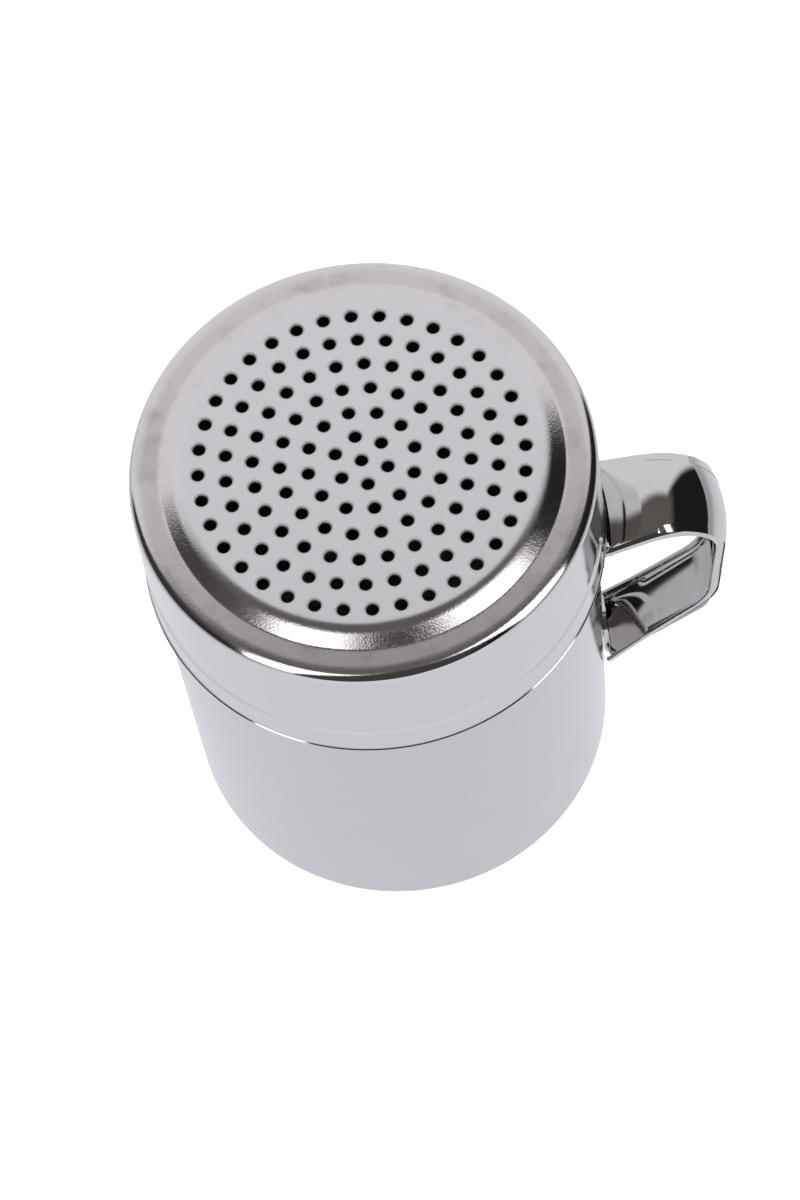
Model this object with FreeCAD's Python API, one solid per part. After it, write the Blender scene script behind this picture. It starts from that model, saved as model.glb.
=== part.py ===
import FreeCAD, Part
import math
import os
from FreeCAD import Vector

# A stainless steel spice shaker: a deep-drawn cup, a perforated lid pressed from one sheet
# that lifts off the cup, and a channel-strip handle spot-welded to the cup's side.
# The origin is on the cup's axis, in the flat base that it stands on. The handle points
# to +X, and +Z goes up through the lid. Lengths are in millimetres, angles in degrees.

# Cup, drawn from sheet
cup_radius = 35.0
cup_height = 92.0
cup_sheet = 0.5
cup_corner_radius = 4.0
neck_inset = 0.2
neck_taper_height = 2.0

# Lid, pressed from sheet
lid_sheet = 0.5
lid_fit_clearance = 0.25
rim_to_ledge = 1.1
skirt_depth = 25.4
skirt_flare = 0.65
shoulder_radius = 1.7
ledge_width = 5.15
ledge_crest_inset = 4.3
ledge_crest_height = 0.35
ledge_fall = 0.35
crest_radius = 1.8
crease_radius = 0.55
wall_slope_width = 2.7
plateau_height = 1.25
plateau_edge_radius = 4.0
bead_height_on_skirt = 6.0
bead_width = 3.5
bead_depth = 0.15
bead_slope_height = 0.7
bead_radius = 1.2

# Perforations, in rings of 6, 12, 18 holes and so on around a centre hole
hole_diameter = 2.2
ring_pitch = 4.11
hole_edge_margin = 1.6
holes_per_ring_step = 6
hole_start_angle = 35.8
hole_sides = 10
punch_overrun = 1.0

# Handle, a pressed channel strip whose web is let out at both ends into tabs
handle_sheet = 0.6
handle_reach = 21.4
handle_root_drop = 1.7
handle_rise = 4.6
handle_grip_drop = 34.5
handle_lean = 1.6
handle_tail_drop = 19.5
knuckle_radius = 11.4
elbow_radius = 13.9
root_width = 16.6
knuckle_width = 13.2
elbow_width = 11.0
tail_width = 12.4
knuckle_share = 0.23
elbow_share = 0.66
root_crown = 0.42
root_depth = 1.6
grip_crown = 0.9
grip_depth = 2.3
channel_growth_share = 0.23
lip_bend_radius = 1.2
wing_overrun = 4.0
wing_gap = 0.3
tab_bend_radius = 1.4
tab_length = 10.5
tab_relief = 0.3
tab_corner_radius = 3.0
heel_length = 2.5
upper_tab_width = 13.2
lower_tab_width = 9.2

# Spot welds between the handle's tabs and the cup
weld_gap = 0.1
weld_fit_gap = 0.01
weld_diameter = 3.6
upper_weld_spacing = 6.6
lower_weld_spacing = 4.6
weld_from_heel = 3.4

# Fineness: the turn of one flat band of a bend, and the handle's sections and their spacing
bend_step = 30.0
points_per_web = 3
points_per_lip = 3
station_spacing = 3.3

# Sizes that follow from the ones above
neck_radius = cup_radius - neck_inset
lid_radius = neck_radius + lid_fit_clearance + lid_sheet
ledge_height = cup_height + rim_to_ledge + lid_sheet
lid_edge_height = ledge_height - skirt_depth
crease_ring_radius = lid_radius - ledge_width
plateau_radius = crease_ring_radius - wall_slope_width
crest_ring_radius = lid_radius - ledge_crest_inset
foot_seat_radius = cup_radius + weld_gap
handle_outside = cup_radius + handle_reach


def rounded_chain(corners, radii):
    """Points in the XZ plane along corners given as (x, z), each inner corner rounded.

    A bend is made of flat bands of about bend_step each, and a very slight one stays sharp.
    """
    places = [Vector(x, 0, z) for x, z in corners]
    points = [places[0]]
    for before, corner, after, radius in zip(places, places[1:], places[2:], radii):
        into = (corner - before).normalize()
        out = (after - corner).normalize()
        turn = into.getAngle(out)
        bands = round(math.degrees(turn) / bend_step)
        if bands == 0:
            points.append(corner)
            continue
        centre = corner + (out - into).normalize() * (radius / math.cos(turn / 2))
        first_arm = corner - into * (radius * math.tan(turn / 2)) - centre
        last_arm = corner + out * (radius * math.tan(turn / 2)) - centre
        for step in range(bands + 1):
            swung = turn * step / bands
            arm = first_arm * math.sin(turn - swung) + last_arm * math.sin(swung)
            points.append(centre + arm * (1 / math.sin(turn)))
    return points + [places[-1]]


def parallel_chain(corners, distance):
    """The corners of the chain that runs at a distance to the left of the given one."""
    shifted = []
    for (x0, z0), (x1, z1) in zip(corners, corners[1:]):
        length = math.hypot(x1 - x0, z1 - z0)
        across = (-(z1 - z0) / length * distance, (x1 - x0) / length * distance)
        shifted.append(((x0 + across[0], z0 + across[1]), (x1 + across[0], z1 + across[1])))
    inner = [shifted[0][0]]
    for (a, b), (c, d) in zip(shifted, shifted[1:]):
        ab = (b[0] - a[0], b[1] - a[1])
        cd = (d[0] - c[0], d[1] - c[1])
        along = ((c[0] - a[0]) * cd[1] - (c[1] - a[1]) * cd[0]) / (ab[0] * cd[1] - ab[1] * cd[0])
        inner.append((a[0] + ab[0] * along, a[1] + ab[1] * along))
    inner.append(shifted[-1][1])
    return inner


def turns_left(before, corner, after):
    """Whether a chain of (x, z) corners turns to its left at the middle one."""
    into = (corner[0] - before[0], corner[1] - before[1])
    out = (after[0] - corner[0], after[1] - corner[1])
    return into[0] * out[1] - into[1] * out[0] > 0


def revolved_sheet(corners, radii, sheet, side):
    """A round shell of even thickness. side is 1 when the sheet lies left of the chain."""
    inner_corners = parallel_chain(corners, side * sheet)
    inner_radii = []
    for before, corner, after, radius in zip(corners, corners[1:], corners[2:], radii):
        toward_sheet = turns_left(before, corner, after) == (side > 0)
        inner_radii.append(radius - sheet if toward_sheet else radius + sheet)
    outer = rounded_chain(corners, radii)
    inner = rounded_chain(inner_corners, inner_radii)
    profile = Part.makePolygon(outer + inner[::-1] + outer[:1])
    return Part.Face(profile).revolve(Vector(), Vector(0, 0, 1), 360)


def make_cup():
    """The drawn cup: a flat base, a corner, a straight wall and a neck under the lid."""
    neck_start = lid_edge_height + neck_taper_height
    corners = [
        (0, 0),
        (cup_radius, 0),
        (cup_radius, neck_start),
        (neck_radius, neck_start + neck_taper_height),
        (neck_radius, cup_height),
    ]
    radii = [cup_corner_radius, neck_taper_height, neck_taper_height]
    return revolved_sheet(corners, radii, cup_sheet, 1)


def skirt_radius(height):
    """Outside radius of the lid's flared skirt at a height."""
    return lid_radius + skirt_flare * (ledge_height - height) / skirt_depth


def lid_outline():
    """Corners and radii of the lid's outside, from its centre out and down to its edge."""
    bead_bottom = lid_edge_height + bead_height_on_skirt
    bead_top = bead_bottom + bead_width
    crease_height = ledge_height - ledge_crest_height
    steps = [
        (0, crease_height + plateau_height, None),
        (plateau_radius, crease_height + plateau_height, plateau_edge_radius),
        (crease_ring_radius, crease_height, crease_radius),
        (crest_ring_radius, ledge_height, crest_radius),
        (lid_radius, ledge_height - ledge_fall, shoulder_radius),
        (skirt_radius(bead_top + bead_slope_height), bead_top + bead_slope_height, bead_radius),
        (skirt_radius(bead_top) - bead_depth, bead_top, bead_radius),
        (skirt_radius(bead_bottom) - bead_depth, bead_bottom, bead_radius),
        (skirt_radius(bead_bottom - bead_slope_height), bead_bottom - bead_slope_height, bead_radius),
        (skirt_radius(lid_edge_height), lid_edge_height, None),
    ]
    corners = [(radius, height) for radius, height, _ in steps]
    radii = [rounding for _, _, rounding in steps if rounding is not None]
    return corners, radii


def perforation_centres():
    """Hole centres: one in the middle, then rings that each hold six more holes."""
    centres = [Vector()]
    ring_count = int((plateau_radius - hole_edge_margin) / ring_pitch)
    for ring in range(1, ring_count + 1):
        holes = holes_per_ring_step * ring
        for hole in range(holes):
            angle = math.radians(hole_start_angle + 360 * hole / holes)
            centres.append(Vector(math.cos(angle), math.sin(angle), 0) * (ring * ring_pitch))
    return centres


def make_punch():
    """A punch for one hole, with flat sides, whose area is that of the round hole."""
    side_angle = 2 * math.pi / hole_sides
    corner_radius = hole_diameter / 2 * math.sqrt(side_angle / math.sin(side_angle))
    corners = []
    for side in range(hole_sides + 1):
        angle = side * side_angle
        corners.append(Vector(math.cos(angle), math.sin(angle), 0) * corner_radius)
    length = lid_sheet + 2 * punch_overrun
    return Part.Face(Part.makePolygon(corners)).extrude(Vector(0, 0, length))


def make_lid():
    """The pressed lid: a raised perforated plateau, a crease, a ledge and a beaded skirt."""
    corners, radii = lid_outline()
    blank = revolved_sheet(corners, radii, lid_sheet, -1)
    top = corners[0][1]
    punch = make_punch()
    lifted = Vector(0, 0, top - lid_sheet - punch_overrun)
    return blank.cut([punch.translated(centre + lifted) for centre in perforation_centres()])


def half_section(width, crown, depth):
    """Points of the strip's outside from its middle to one lip, as (offset, depth, slant).

    crown is how far the crowned web falls at half the width, and depth is that of the lip's
    edge. A depth of zero leaves the lip out. slant is the angle of the surface.
    """
    half = width / 2
    fall = crown / half ** 2
    web_end = half if depth == 0 else half - lip_bend_radius
    slant = math.atan(2 * fall * web_end)
    if depth > 0:
        web_end += lip_bend_radius * math.sin(slant)
    points = []
    for step in range(points_per_web + 1):
        offset = web_end * step / points_per_web
        points.append((offset, fall * offset ** 2, math.atan(2 * fall * offset)))
    if depth > 0:
        start = points[-1][2]
        centre = fall * web_end ** 2 + lip_bend_radius * math.cos(start)
        for step in range(1, points_per_lip + 1):
            turn = start + (math.pi / 2 - start) * step / points_per_lip
            offset = half - lip_bend_radius * (1 - math.sin(turn))
            points.append((offset, centre - lip_bend_radius * math.cos(turn), turn))
        points.append((half, depth, math.pi / 2))
    return points


def strip_section(width, crown, depth, wrap):
    """A closed wire across the strip at the origin, where it runs up +Z with its inside to +X.

    wrap runs from 0 for a plain strip to 1 for a foot that follows the cup's curve.
    """
    outer = []
    inner = []
    points = half_section(width, crown, depth)
    both_sides = [(-y, x, -slant) for y, x, slant in points[:0:-1]] + points
    for offset, sink, slant in both_sides:
        seat = math.sqrt(foot_seat_radius ** 2 - offset ** 2)
        sink += wrap * (seat - foot_seat_radius)
        slant -= wrap * math.atan(offset / seat)
        outer.append(Vector(sink, offset, 0))
        inner.append(outer[-1] + Vector(math.cos(slant), -math.sin(slant), 0) * handle_sheet)
    outer_curve = Part.BSplineCurve()
    outer_curve.interpolate(outer)
    inner_curve = Part.BSplineCurve()
    inner_curve.interpolate(inner[::-1])
    far_edge = Part.LineSegment(outer[-1], inner[-1])
    near_edge = Part.LineSegment(inner[0], outer[0])
    return Part.Wire([c.toShape() for c in (outer_curve, far_edge, inner_curve, near_edge)])


class BentStrip:
    """A strip made end to end in the XZ plane, on its outside line, from sections."""

    def __init__(self, place, heading):
        self.place = place
        self.heading = heading
        self.lengths = []

    def along(self):
        angle = math.radians(self.heading)
        return Vector(math.sin(angle), 0, math.cos(angle))

    def inward(self):
        angle = math.radians(self.heading)
        return Vector(math.cos(angle), 0, -math.sin(angle))

    def placed(self, shape):
        turn = FreeCAD.Rotation(Vector(0, 1, 0), self.heading)
        shape.Placement = FreeCAD.Placement(self.place, turn)
        return shape

    def advance(self, length):
        self.place = self.place + self.along() * length

    def turn(self, radius, angle):
        centre = self.place + self.inward() * radius
        self.heading += angle
        self.place = centre - self.inward() * radius

    def run(self, length, section):
        face = Part.Face(self.placed(strip_section(*section)))
        self.lengths.append(face.extrude(self.along() * length))
        self.advance(length)

    def bend(self, radius, angle, section):
        self.flow([(radius, angle)], lambda share: section)

    def flow(self, moves, section_at):
        """Loft along (radius, angle) turns and (length, 0) runs with a changing section."""
        sizes = [size * math.radians(angle) if angle else size for size, angle in moves]
        gone = 0
        stations = [self.placed(strip_section(*section_at(0)))]
        for (size, angle), length in zip(moves, sizes):
            steps = math.ceil(max(length / station_spacing, angle / bend_step))
            for _ in range(steps):
                if angle:
                    self.turn(size, angle / steps)
                else:
                    self.advance(size / steps)
                gone += length / steps
                stations.append(self.placed(strip_section(*section_at(gone / sum(sizes)))))
        self.lengths.append(Part.makeLoft(stations, True, True))


def handle_corners():
    """Corners of the handle's outside line: the upper foot, knuckle, elbow and lower foot."""
    upper_foot = Vector(foot_seat_radius, 0, lid_edge_height - handle_root_drop)
    knuckle = Vector(handle_outside, 0, upper_foot.z + handle_rise)
    elbow = Vector(handle_outside - handle_lean, 0, knuckle.z - handle_grip_drop)
    lower_foot = Vector(foot_seat_radius, 0, elbow.z - handle_tail_drop)
    return upper_foot, knuckle, elbow, lower_foot


def heading_of(start, end):
    """The angle from +Z towards +X of the way from start to end, from 0 to 360."""
    return math.degrees(math.atan2(end.x - start.x, end.z - start.z)) % 360


def setback(radius, angle):
    """How far before its corner a bend starts."""
    return radius * math.tan(math.radians(angle) / 2)


def curve_through(stations, share):
    """The value at a share of the way, on the smooth curve through (share, value) stations."""
    total = 0
    for here, value in stations:
        for other, _ in stations:
            if other != here:
                value *= (share - other) / (here - other)
        total += value
    return total


def limb_section(share):
    """The channel's section at a share of its way: wide and shallow at first, slim after."""
    stations = [
        (0, root_width),
        (knuckle_share, knuckle_width),
        (elbow_share, elbow_width),
        (1, tail_width),
    ]
    grown = min(1, share / channel_growth_share)
    grown = grown * grown * (3 - 2 * grown)
    crown = root_crown + (grip_crown - root_crown) * grown
    depth = root_depth + (grip_depth - root_depth) * grown
    return curve_through(stations, share), crown, depth, 0


def make_wings(place, heading):
    """The channel's sides past its web, cut to the cup's curve beside the upper tab."""
    strip = BentStrip(place, heading)
    strip.run(-wing_overrun, limb_section(0))
    gap_width = upper_tab_width + 2 * tab_relief
    gap = Part.makeBox(2 * grip_depth, gap_width, wing_overrun)
    gap.translate(Vector(-grip_depth, -gap_width / 2, 0))
    wings = strip.lengths[0].cut(strip.placed(Part.makeCompound([gap])))
    return wings.cut(seamless_rod(foot_seat_radius + wing_gap)).Solids


def seamless_rod(radius):
    """A rod on the cup's axis, as tall as the cup, with its seam turned away from the handle."""
    rod = Part.makeCylinder(radius, cup_height)
    rod.rotate(Vector(), Vector(0, 0, 1), 180)
    return rod


def tab_sections(channel_section, tab_width):
    """The tab as it leaves the web, and the tab as it lies on the cup."""
    width, crown, _, _ = channel_section
    return (tab_width, crown * (tab_width / width) ** 2, 0, 0), (tab_width, 0, 0, 1)


def make_handle():
    """The channel strip and the two tabs of its web that are turned in against the cup."""
    upper_foot, knuckle, elbow, lower_foot = handle_corners()
    upper_heading = heading_of(upper_foot, knuckle)
    grip_heading = heading_of(knuckle, elbow)
    tail_heading = heading_of(elbow, lower_foot)
    knuckle_setback = setback(knuckle_radius, grip_heading - upper_heading)
    elbow_setback = setback(elbow_radius, tail_heading - grip_heading)
    upper_setback = setback(tab_bend_radius, upper_heading)
    lower_setback = setback(tab_bend_radius, 360 - tail_heading)
    upper_end = upper_foot + (knuckle - upper_foot).normalize() * upper_setback
    lower_end = lower_foot + (elbow - lower_foot).normalize() * lower_setback
    limb = BentStrip(upper_end, upper_heading)
    moves = [
        (upper_foot.distanceToPoint(knuckle) - knuckle_setback - upper_setback, 0),
        (knuckle_radius, grip_heading - upper_heading),
        (knuckle.distanceToPoint(elbow) - knuckle_setback - elbow_setback, 0),
        (elbow_radius, tail_heading - grip_heading),
        (elbow.distanceToPoint(lower_foot) - elbow_setback - lower_setback, 0),
    ]
    limb.flow(moves, limb_section)
    upper_tab = BentStrip(upper_foot - Vector(0, 0, upper_setback + tab_length), 0)
    leaving, lying = tab_sections(limb_section(0), upper_tab_width)
    upper_tab.run(tab_length - heel_length, lying)
    upper_tab.flow([(heel_length, 0)], lambda share: blended(lying, leaving, share))
    upper_tab.bend(tab_bend_radius, upper_heading, leaving)
    lower_tab = BentStrip(lower_end, tail_heading)
    leaving, lying = tab_sections(limb_section(1), lower_tab_width)
    lower_tab.bend(tab_bend_radius, 360 - tail_heading, leaving)
    lower_tab.flow([(heel_length, 0)], lambda share: blended(leaving, lying, share))
    lower_tab.run(tab_length - heel_length, lying)
    rest = upper_tab.lengths + make_wings(upper_end, upper_heading) + lower_tab.lengths
    return round_tab_corners(limb.lengths[0].fuse(rest))


def blended(section, next_section, share):
    """A section between two others, eased in and out."""
    eased = share * share * (3 - 2 * share)
    return tuple(a + (b - a) * eased for a, b in zip(section, next_section))


def round_tab_corners(strip):
    """Round the two corners at the free end of each tab."""
    middle = strip.BoundBox.Center
    corners = []
    for edge in strip.Edges:
        across_sheet = abs(edge.Length - handle_sheet) < handle_sheet / 100
        ends = [vertex.Point for vertex in edge.Vertexes]
        if across_sheet and len(ends) == 2:
            level = abs(ends[0].z - ends[1].z) < handle_sheet / 100
            if level and ends[0].x < foot_seat_radius + handle_sheet:
                corners.append((abs(ends[0].z - middle.z), edge))
    corners.sort(key=lambda corner: corner[0])
    return strip.makeFillet(tab_corner_radius, [edge for _, edge in corners[:4]])


def make_welds():
    """The spot welds: thin round pads on the cup that all but fill the gap to each tab."""
    upper_foot, knuckle, elbow, lower_foot = handle_corners()
    upper_setback = setback(tab_bend_radius, heading_of(upper_foot, knuckle))
    lower_setback = setback(tab_bend_radius, 360 - heading_of(elbow, lower_foot))
    from_heel = heel_length + weld_from_heel
    upper_height = upper_foot.z - upper_setback - from_heel
    lower_height = lower_foot.z + lower_setback + from_heel
    spots = []
    for side in (-1, 1):
        spots.append((side * upper_weld_spacing / 2, upper_height))
        spots.append((side * lower_weld_spacing / 2, lower_height))
    gap_ring = seamless_rod(foot_seat_radius - weld_fit_gap).cut(seamless_rod(cup_radius))
    pads = []
    for across, height in spots:
        start = Vector(0, across, height)
        rod = Part.makeCylinder(weld_diameter / 2, handle_outside, start, Vector(1, 0, 0))
        pads.extend(gap_ring.common(rod).Solids)
    return Part.makeCompound(pads)


def main():
    os.makedirs("parts", exist_ok=True)
    pieces = {
        "cup": make_cup(),
        "perforated_lid": make_lid(),
        "handle": make_handle(),
        "handle_spot_welds": make_welds(),
    }
    for name, shape in pieces.items():
        shape.exportStep("parts/" + name + ".step")
        print(name, "valid", shape.isValid(), "solids", len(shape.Solids),
              "volume", round(shape.Volume, 2), "box", shape.BoundBox)


main()
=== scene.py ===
"""A stainless steel spice shaker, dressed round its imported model.

The shaker is a drawn cup, a press-on lid with rings of punched holes, and a handle folded
from strip. Each is a class that holds its sizes in millimetres and makes one piece in the
model's own frame: +Z goes up the cup's axis and +X points through the handle.
"""

import logging
import math
from dataclasses import dataclass, field
from enum import Enum
from typing import Any, Callable, Iterable

import bpy
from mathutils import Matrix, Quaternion, Vector

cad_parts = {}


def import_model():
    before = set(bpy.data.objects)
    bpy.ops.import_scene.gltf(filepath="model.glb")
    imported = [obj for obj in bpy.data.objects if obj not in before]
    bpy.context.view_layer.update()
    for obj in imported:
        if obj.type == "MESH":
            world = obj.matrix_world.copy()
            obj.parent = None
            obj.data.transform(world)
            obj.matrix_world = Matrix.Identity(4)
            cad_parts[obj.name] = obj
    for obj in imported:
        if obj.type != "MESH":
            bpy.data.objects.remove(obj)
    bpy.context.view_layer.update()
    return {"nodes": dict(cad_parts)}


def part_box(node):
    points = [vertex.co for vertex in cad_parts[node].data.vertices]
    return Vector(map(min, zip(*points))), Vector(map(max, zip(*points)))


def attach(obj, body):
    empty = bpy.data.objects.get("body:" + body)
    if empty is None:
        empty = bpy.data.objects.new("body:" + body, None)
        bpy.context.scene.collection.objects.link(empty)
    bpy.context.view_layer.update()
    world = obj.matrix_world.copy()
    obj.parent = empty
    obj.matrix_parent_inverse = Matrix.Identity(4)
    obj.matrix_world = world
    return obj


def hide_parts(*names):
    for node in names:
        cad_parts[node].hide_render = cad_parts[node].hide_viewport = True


log = logging.getLogger("spice_shaker")

Object = bpy.types.Object
Tree = bpy.types.NodeTree
Node = bpy.types.Node
Socket = bpy.types.NodeSocket
Pair = tuple[float, float]

MM = 0.001
FULL_TURN = 2 * math.pi
UP = Vector((0, 0, 1))
# Edges that turn by more than this stay sharp, in degrees
CREASE_ANGLE = 50.0
# Points nearer to each other than this are one point
MERGE_DISTANCE = MM / 1000
# Points nearer to a shape than this are on it
ON_SHAPE = MM / 100
# How far above the lid's edge the cup's neck starts to draw in, in millimetres
NECK_ABOVE_EDGE = 2.0


class Slot(Enum):
    """The record's material slots, one for each kind of steel on the shaker."""

    CUP = "cup_steel"
    LID = "lid_steel"
    HANDLE = "handle_steel"
    WELD = "weld_steel"


class Body(Enum):
    """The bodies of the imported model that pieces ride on."""

    SHAKER = "shaker_body"
    LID = "lid"


# Modelling helpers


def select_only(piece: Object) -> None:
    """Makes one object the only selected one, and the active one."""
    bpy.ops.object.select_all(action="DESELECT")
    piece.select_set(True)
    bpy.context.view_layer.objects.active = piece


def added(operator: Callable[..., Any], **settings: Any) -> Object:
    """Runs an operator that adds an object, with no other one selected, and returns it."""
    bpy.ops.object.select_all(action="DESELECT")
    operator(**settings)
    return bpy.context.object


def apply_modifier(piece: Object, kind: str, **settings: Any) -> None:
    """Adds a modifier and applies it.

    Args:
        piece: The object whose mesh changes.
        kind: The modifier's type, such as SOLIDIFY.
        **settings: The modifier's own settings.
    """
    select_only(piece)
    modifier = piece.modifiers.new(kind, kind)
    for name, value in settings.items():
        setattr(modifier, name, value)
    bpy.ops.object.modifier_apply(modifier=modifier.name)


def select_in_mesh(piece: Object, mode: str, wanted: Callable[[Any], bool]) -> int:
    """Selects the vertices, edges or faces that a test picks, and enters edit mode.

    Args:
        piece: The mesh object, in object mode.
        mode: VERT, EDGE or FACE.
        wanted: A test of one vertex, edge or polygon.

    Returns:
        How many were selected.
    """
    mesh = piece.data
    parts = {"VERT": mesh.vertices, "EDGE": mesh.edges, "FACE": mesh.polygons}[mode]
    for layer in (mesh.vertices, mesh.edges, mesh.polygons):
        layer.foreach_set("select", [False] * len(layer))
    chosen = [part for part in parts if wanted(part)]
    for part in chosen:
        part.select = True
    modes = (mode == "VERT", mode == "EDGE", mode == "FACE")
    bpy.context.tool_settings.mesh_select_mode = modes
    select_only(piece)
    bpy.ops.object.mode_set(mode="EDIT")
    return len(chosen)


def smooth(piece: Object) -> None:
    """Smooths the shading, with flat faces kept flat and creases kept sharp."""
    select_only(piece)
    bpy.ops.object.shade_smooth_by_angle(angle=math.radians(CREASE_ANGLE))
    apply_modifier(piece, "WEIGHTED_NORMAL", keep_sharp=True, weight=100)


@dataclass(frozen=True)
class Corner:
    """A corner of a round piece's outside, in millimetres.

    Attributes:
        radius: Its distance from the axis.
        height: Its height.
        rounding: The radius of the bend there.
    """

    radius: float
    height: float
    rounding: float = 0.0


def rounded_profile(corners: list[Corner], arc_steps: int) -> list[Vector]:
    """Points along a profile, with an arc at each corner between the ends.

    Args:
        corners: The profile's corners, in order.
        arc_steps: How many steps an arc has.

    Returns:
        The points, in metres, in the XZ plane.
    """
    places = [Vector((corner.radius, 0, corner.height)) * MM for corner in corners]
    points = [places[0]]
    for before, corner, place, after in zip(places, corners[1:], places[1:], places[2:]):
        into = (place - before).normalized()
        out = (after - place).normalized()
        half_turn = into.angle(out) / 2
        rounding = corner.rounding * MM
        setback = rounding * math.tan(half_turn)
        centre = place + (out - into).normalized() * (rounding / math.cos(half_turn))
        first_arm = place - into * setback - centre
        last_arm = place + out * setback - centre
        for step in range(arc_steps + 1):
            points.append(centre + first_arm.slerp(last_arm, step / arc_steps) * rounding)
    points.append(places[-1])
    return points


def spin_sheet(name: str, points: list[Vector], steps: int, sheet: float) -> Object:
    """Draws a profile, spins it round the cup's axis, closes its middle and thickens it.

    Args:
        name: The new object's name.
        points: The outside's profile, from its flat middle outwards, in metres.
        steps: How many steps go round.
        sheet: The sheet's thickness in millimetres, on the inside of the profile.

    Returns:
        The closed sheet-metal shell.
    """
    piece = added(bpy.ops.mesh.primitive_plane_add, size=MM, location=points[0])
    piece.name = name
    piece.data.name = name
    bpy.ops.object.transform_apply(location=True)
    bpy.context.tool_settings.mesh_select_mode = (True, False, False)
    bpy.ops.object.mode_set(mode="EDIT")
    bpy.ops.mesh.select_all(action="SELECT")
    bpy.ops.mesh.merge(type="CENTER")
    for here, there in zip(points, points[1:]):
        bpy.ops.mesh.extrude_vertices_move(TRANSFORM_OT_translate={"value": there - here})
    bpy.ops.mesh.select_all(action="SELECT")
    bpy.ops.mesh.spin(steps=steps, angle=FULL_TURN, center=(0, 0, 0), axis=UP)
    bpy.ops.mesh.select_all(action="SELECT")
    bpy.ops.mesh.remove_doubles(threshold=MERGE_DISTANCE)
    bpy.ops.object.mode_set(mode="OBJECT")
    middle = points[0].x + MERGE_DISTANCE
    select_in_mesh(piece, "VERT", lambda v: v.co.xy.length < middle)
    bpy.ops.mesh.edge_face_add()
    bpy.ops.mesh.select_all(action="SELECT")
    bpy.ops.mesh.normals_make_consistent(inside=False)
    bpy.ops.object.mode_set(mode="OBJECT")
    apply_modifier(piece, "SOLIDIFY", thickness=sheet * MM, offset=-1, use_quality_normals=True)
    return piece


# Materials


def linear(code: str) -> tuple[float, float, float, float]:
    """Turns an sRGB hex colour, such as #C8C7CC, into linear red, green, blue and alpha."""
    shares = [int(code[at:at + 2], 16) / 255 for at in (1, 3, 5)]
    curved = [s / 12.92 if s <= 0.04045 else ((s + 0.055) / 1.055) ** 2.4 for s in shares]
    return curved[0], curved[1], curved[2], 1.0


def empty_tree(owner: bpy.types.Material | bpy.types.World) -> Tree:
    """Turns on the nodes of a material or a world, and takes them all out."""
    owner.use_nodes = True
    owner.node_tree.nodes.clear()
    return owner.node_tree


def add_node(tree: Tree, kind: str, settings: dict[str, Any] | None = None,
             links: dict[str | int, Any] | None = None) -> Node:
    """Adds one node, sets it and feeds it.

    Args:
        tree: The node tree that it joins.
        kind: The node's type.
        settings: The node's own settings.
        links: What each input takes, by name or number: a value, or another node's output.

    Returns:
        The new node.
    """
    node = tree.nodes.new(kind)
    for name, value in (settings or {}).items():
        setattr(node, name, value)
    for name, value in (links or {}).items():
        if isinstance(value, Socket):
            tree.links.new(value, node.inputs[name])
        else:
            node.inputs[name].default_value = value
    return node


def add_math(tree: Tree, operation: str, *values: Any) -> Socket:
    """Adds a piece of arithmetic on numbers or sockets, and returns its result's socket."""
    node = add_node(tree, "ShaderNodeMath", {"operation": operation}, dict(enumerate(values)))
    return node.outputs["Value"]


def add_range(tree: Tree, value: Socket, source: Pair, target: Pair,
              kind: str = "SMOOTHSTEP") -> Socket:
    """Adds a change from one range to another.

    Args:
        tree: The node tree that it joins.
        value: The socket of the value that changes.
        source: The value's range, past which it is held.
        target: What the range's two ends become.
        kind: How it goes from end to end.

    Returns:
        The result's socket.
    """
    node = add_node(tree, "ShaderNodeMapRange", {"interpolation_type": kind}, {
        "Value": value, "From Min": source[0], "From Max": source[1],
        "To Min": target[0], "To Max": target[1]})
    return node.outputs["Result"]


def add_noise(tree: Tree, place: Socket, size: float, detail: float,
              roughness: float = 0.5) -> Socket:
    """Adds soft noise whose marks have a size in millimetres, and returns its value's socket."""
    node = add_node(tree, "ShaderNodeTexNoise", None, {
        "Vector": place, "Scale": 1 / (size * MM), "Detail": detail, "Roughness": roughness})
    return node.outputs["Fac"]


def add_ramp(tree: Tree, share: Socket,
             stops: list[tuple[float, tuple[float, float, float]]]) -> Socket:
    """Adds a ramp between colours.

    Args:
        tree: The node tree that it joins.
        share: The socket of the place along the ramp, from 0 to 1.
        stops: Each stop's place, and its red, green and blue.

    Returns:
        The colour's socket.
    """
    ramp = add_node(tree, "ShaderNodeValToRGB", None, {"Fac": share})
    elements = ramp.color_ramp.elements
    while len(elements) < len(stops):
        elements.new(0.5)
    for element, (place, colour) in zip(elements, stops):
        element.position = place
        element.color = (*colour, 1)
    return ramp.outputs["Color"]


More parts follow.
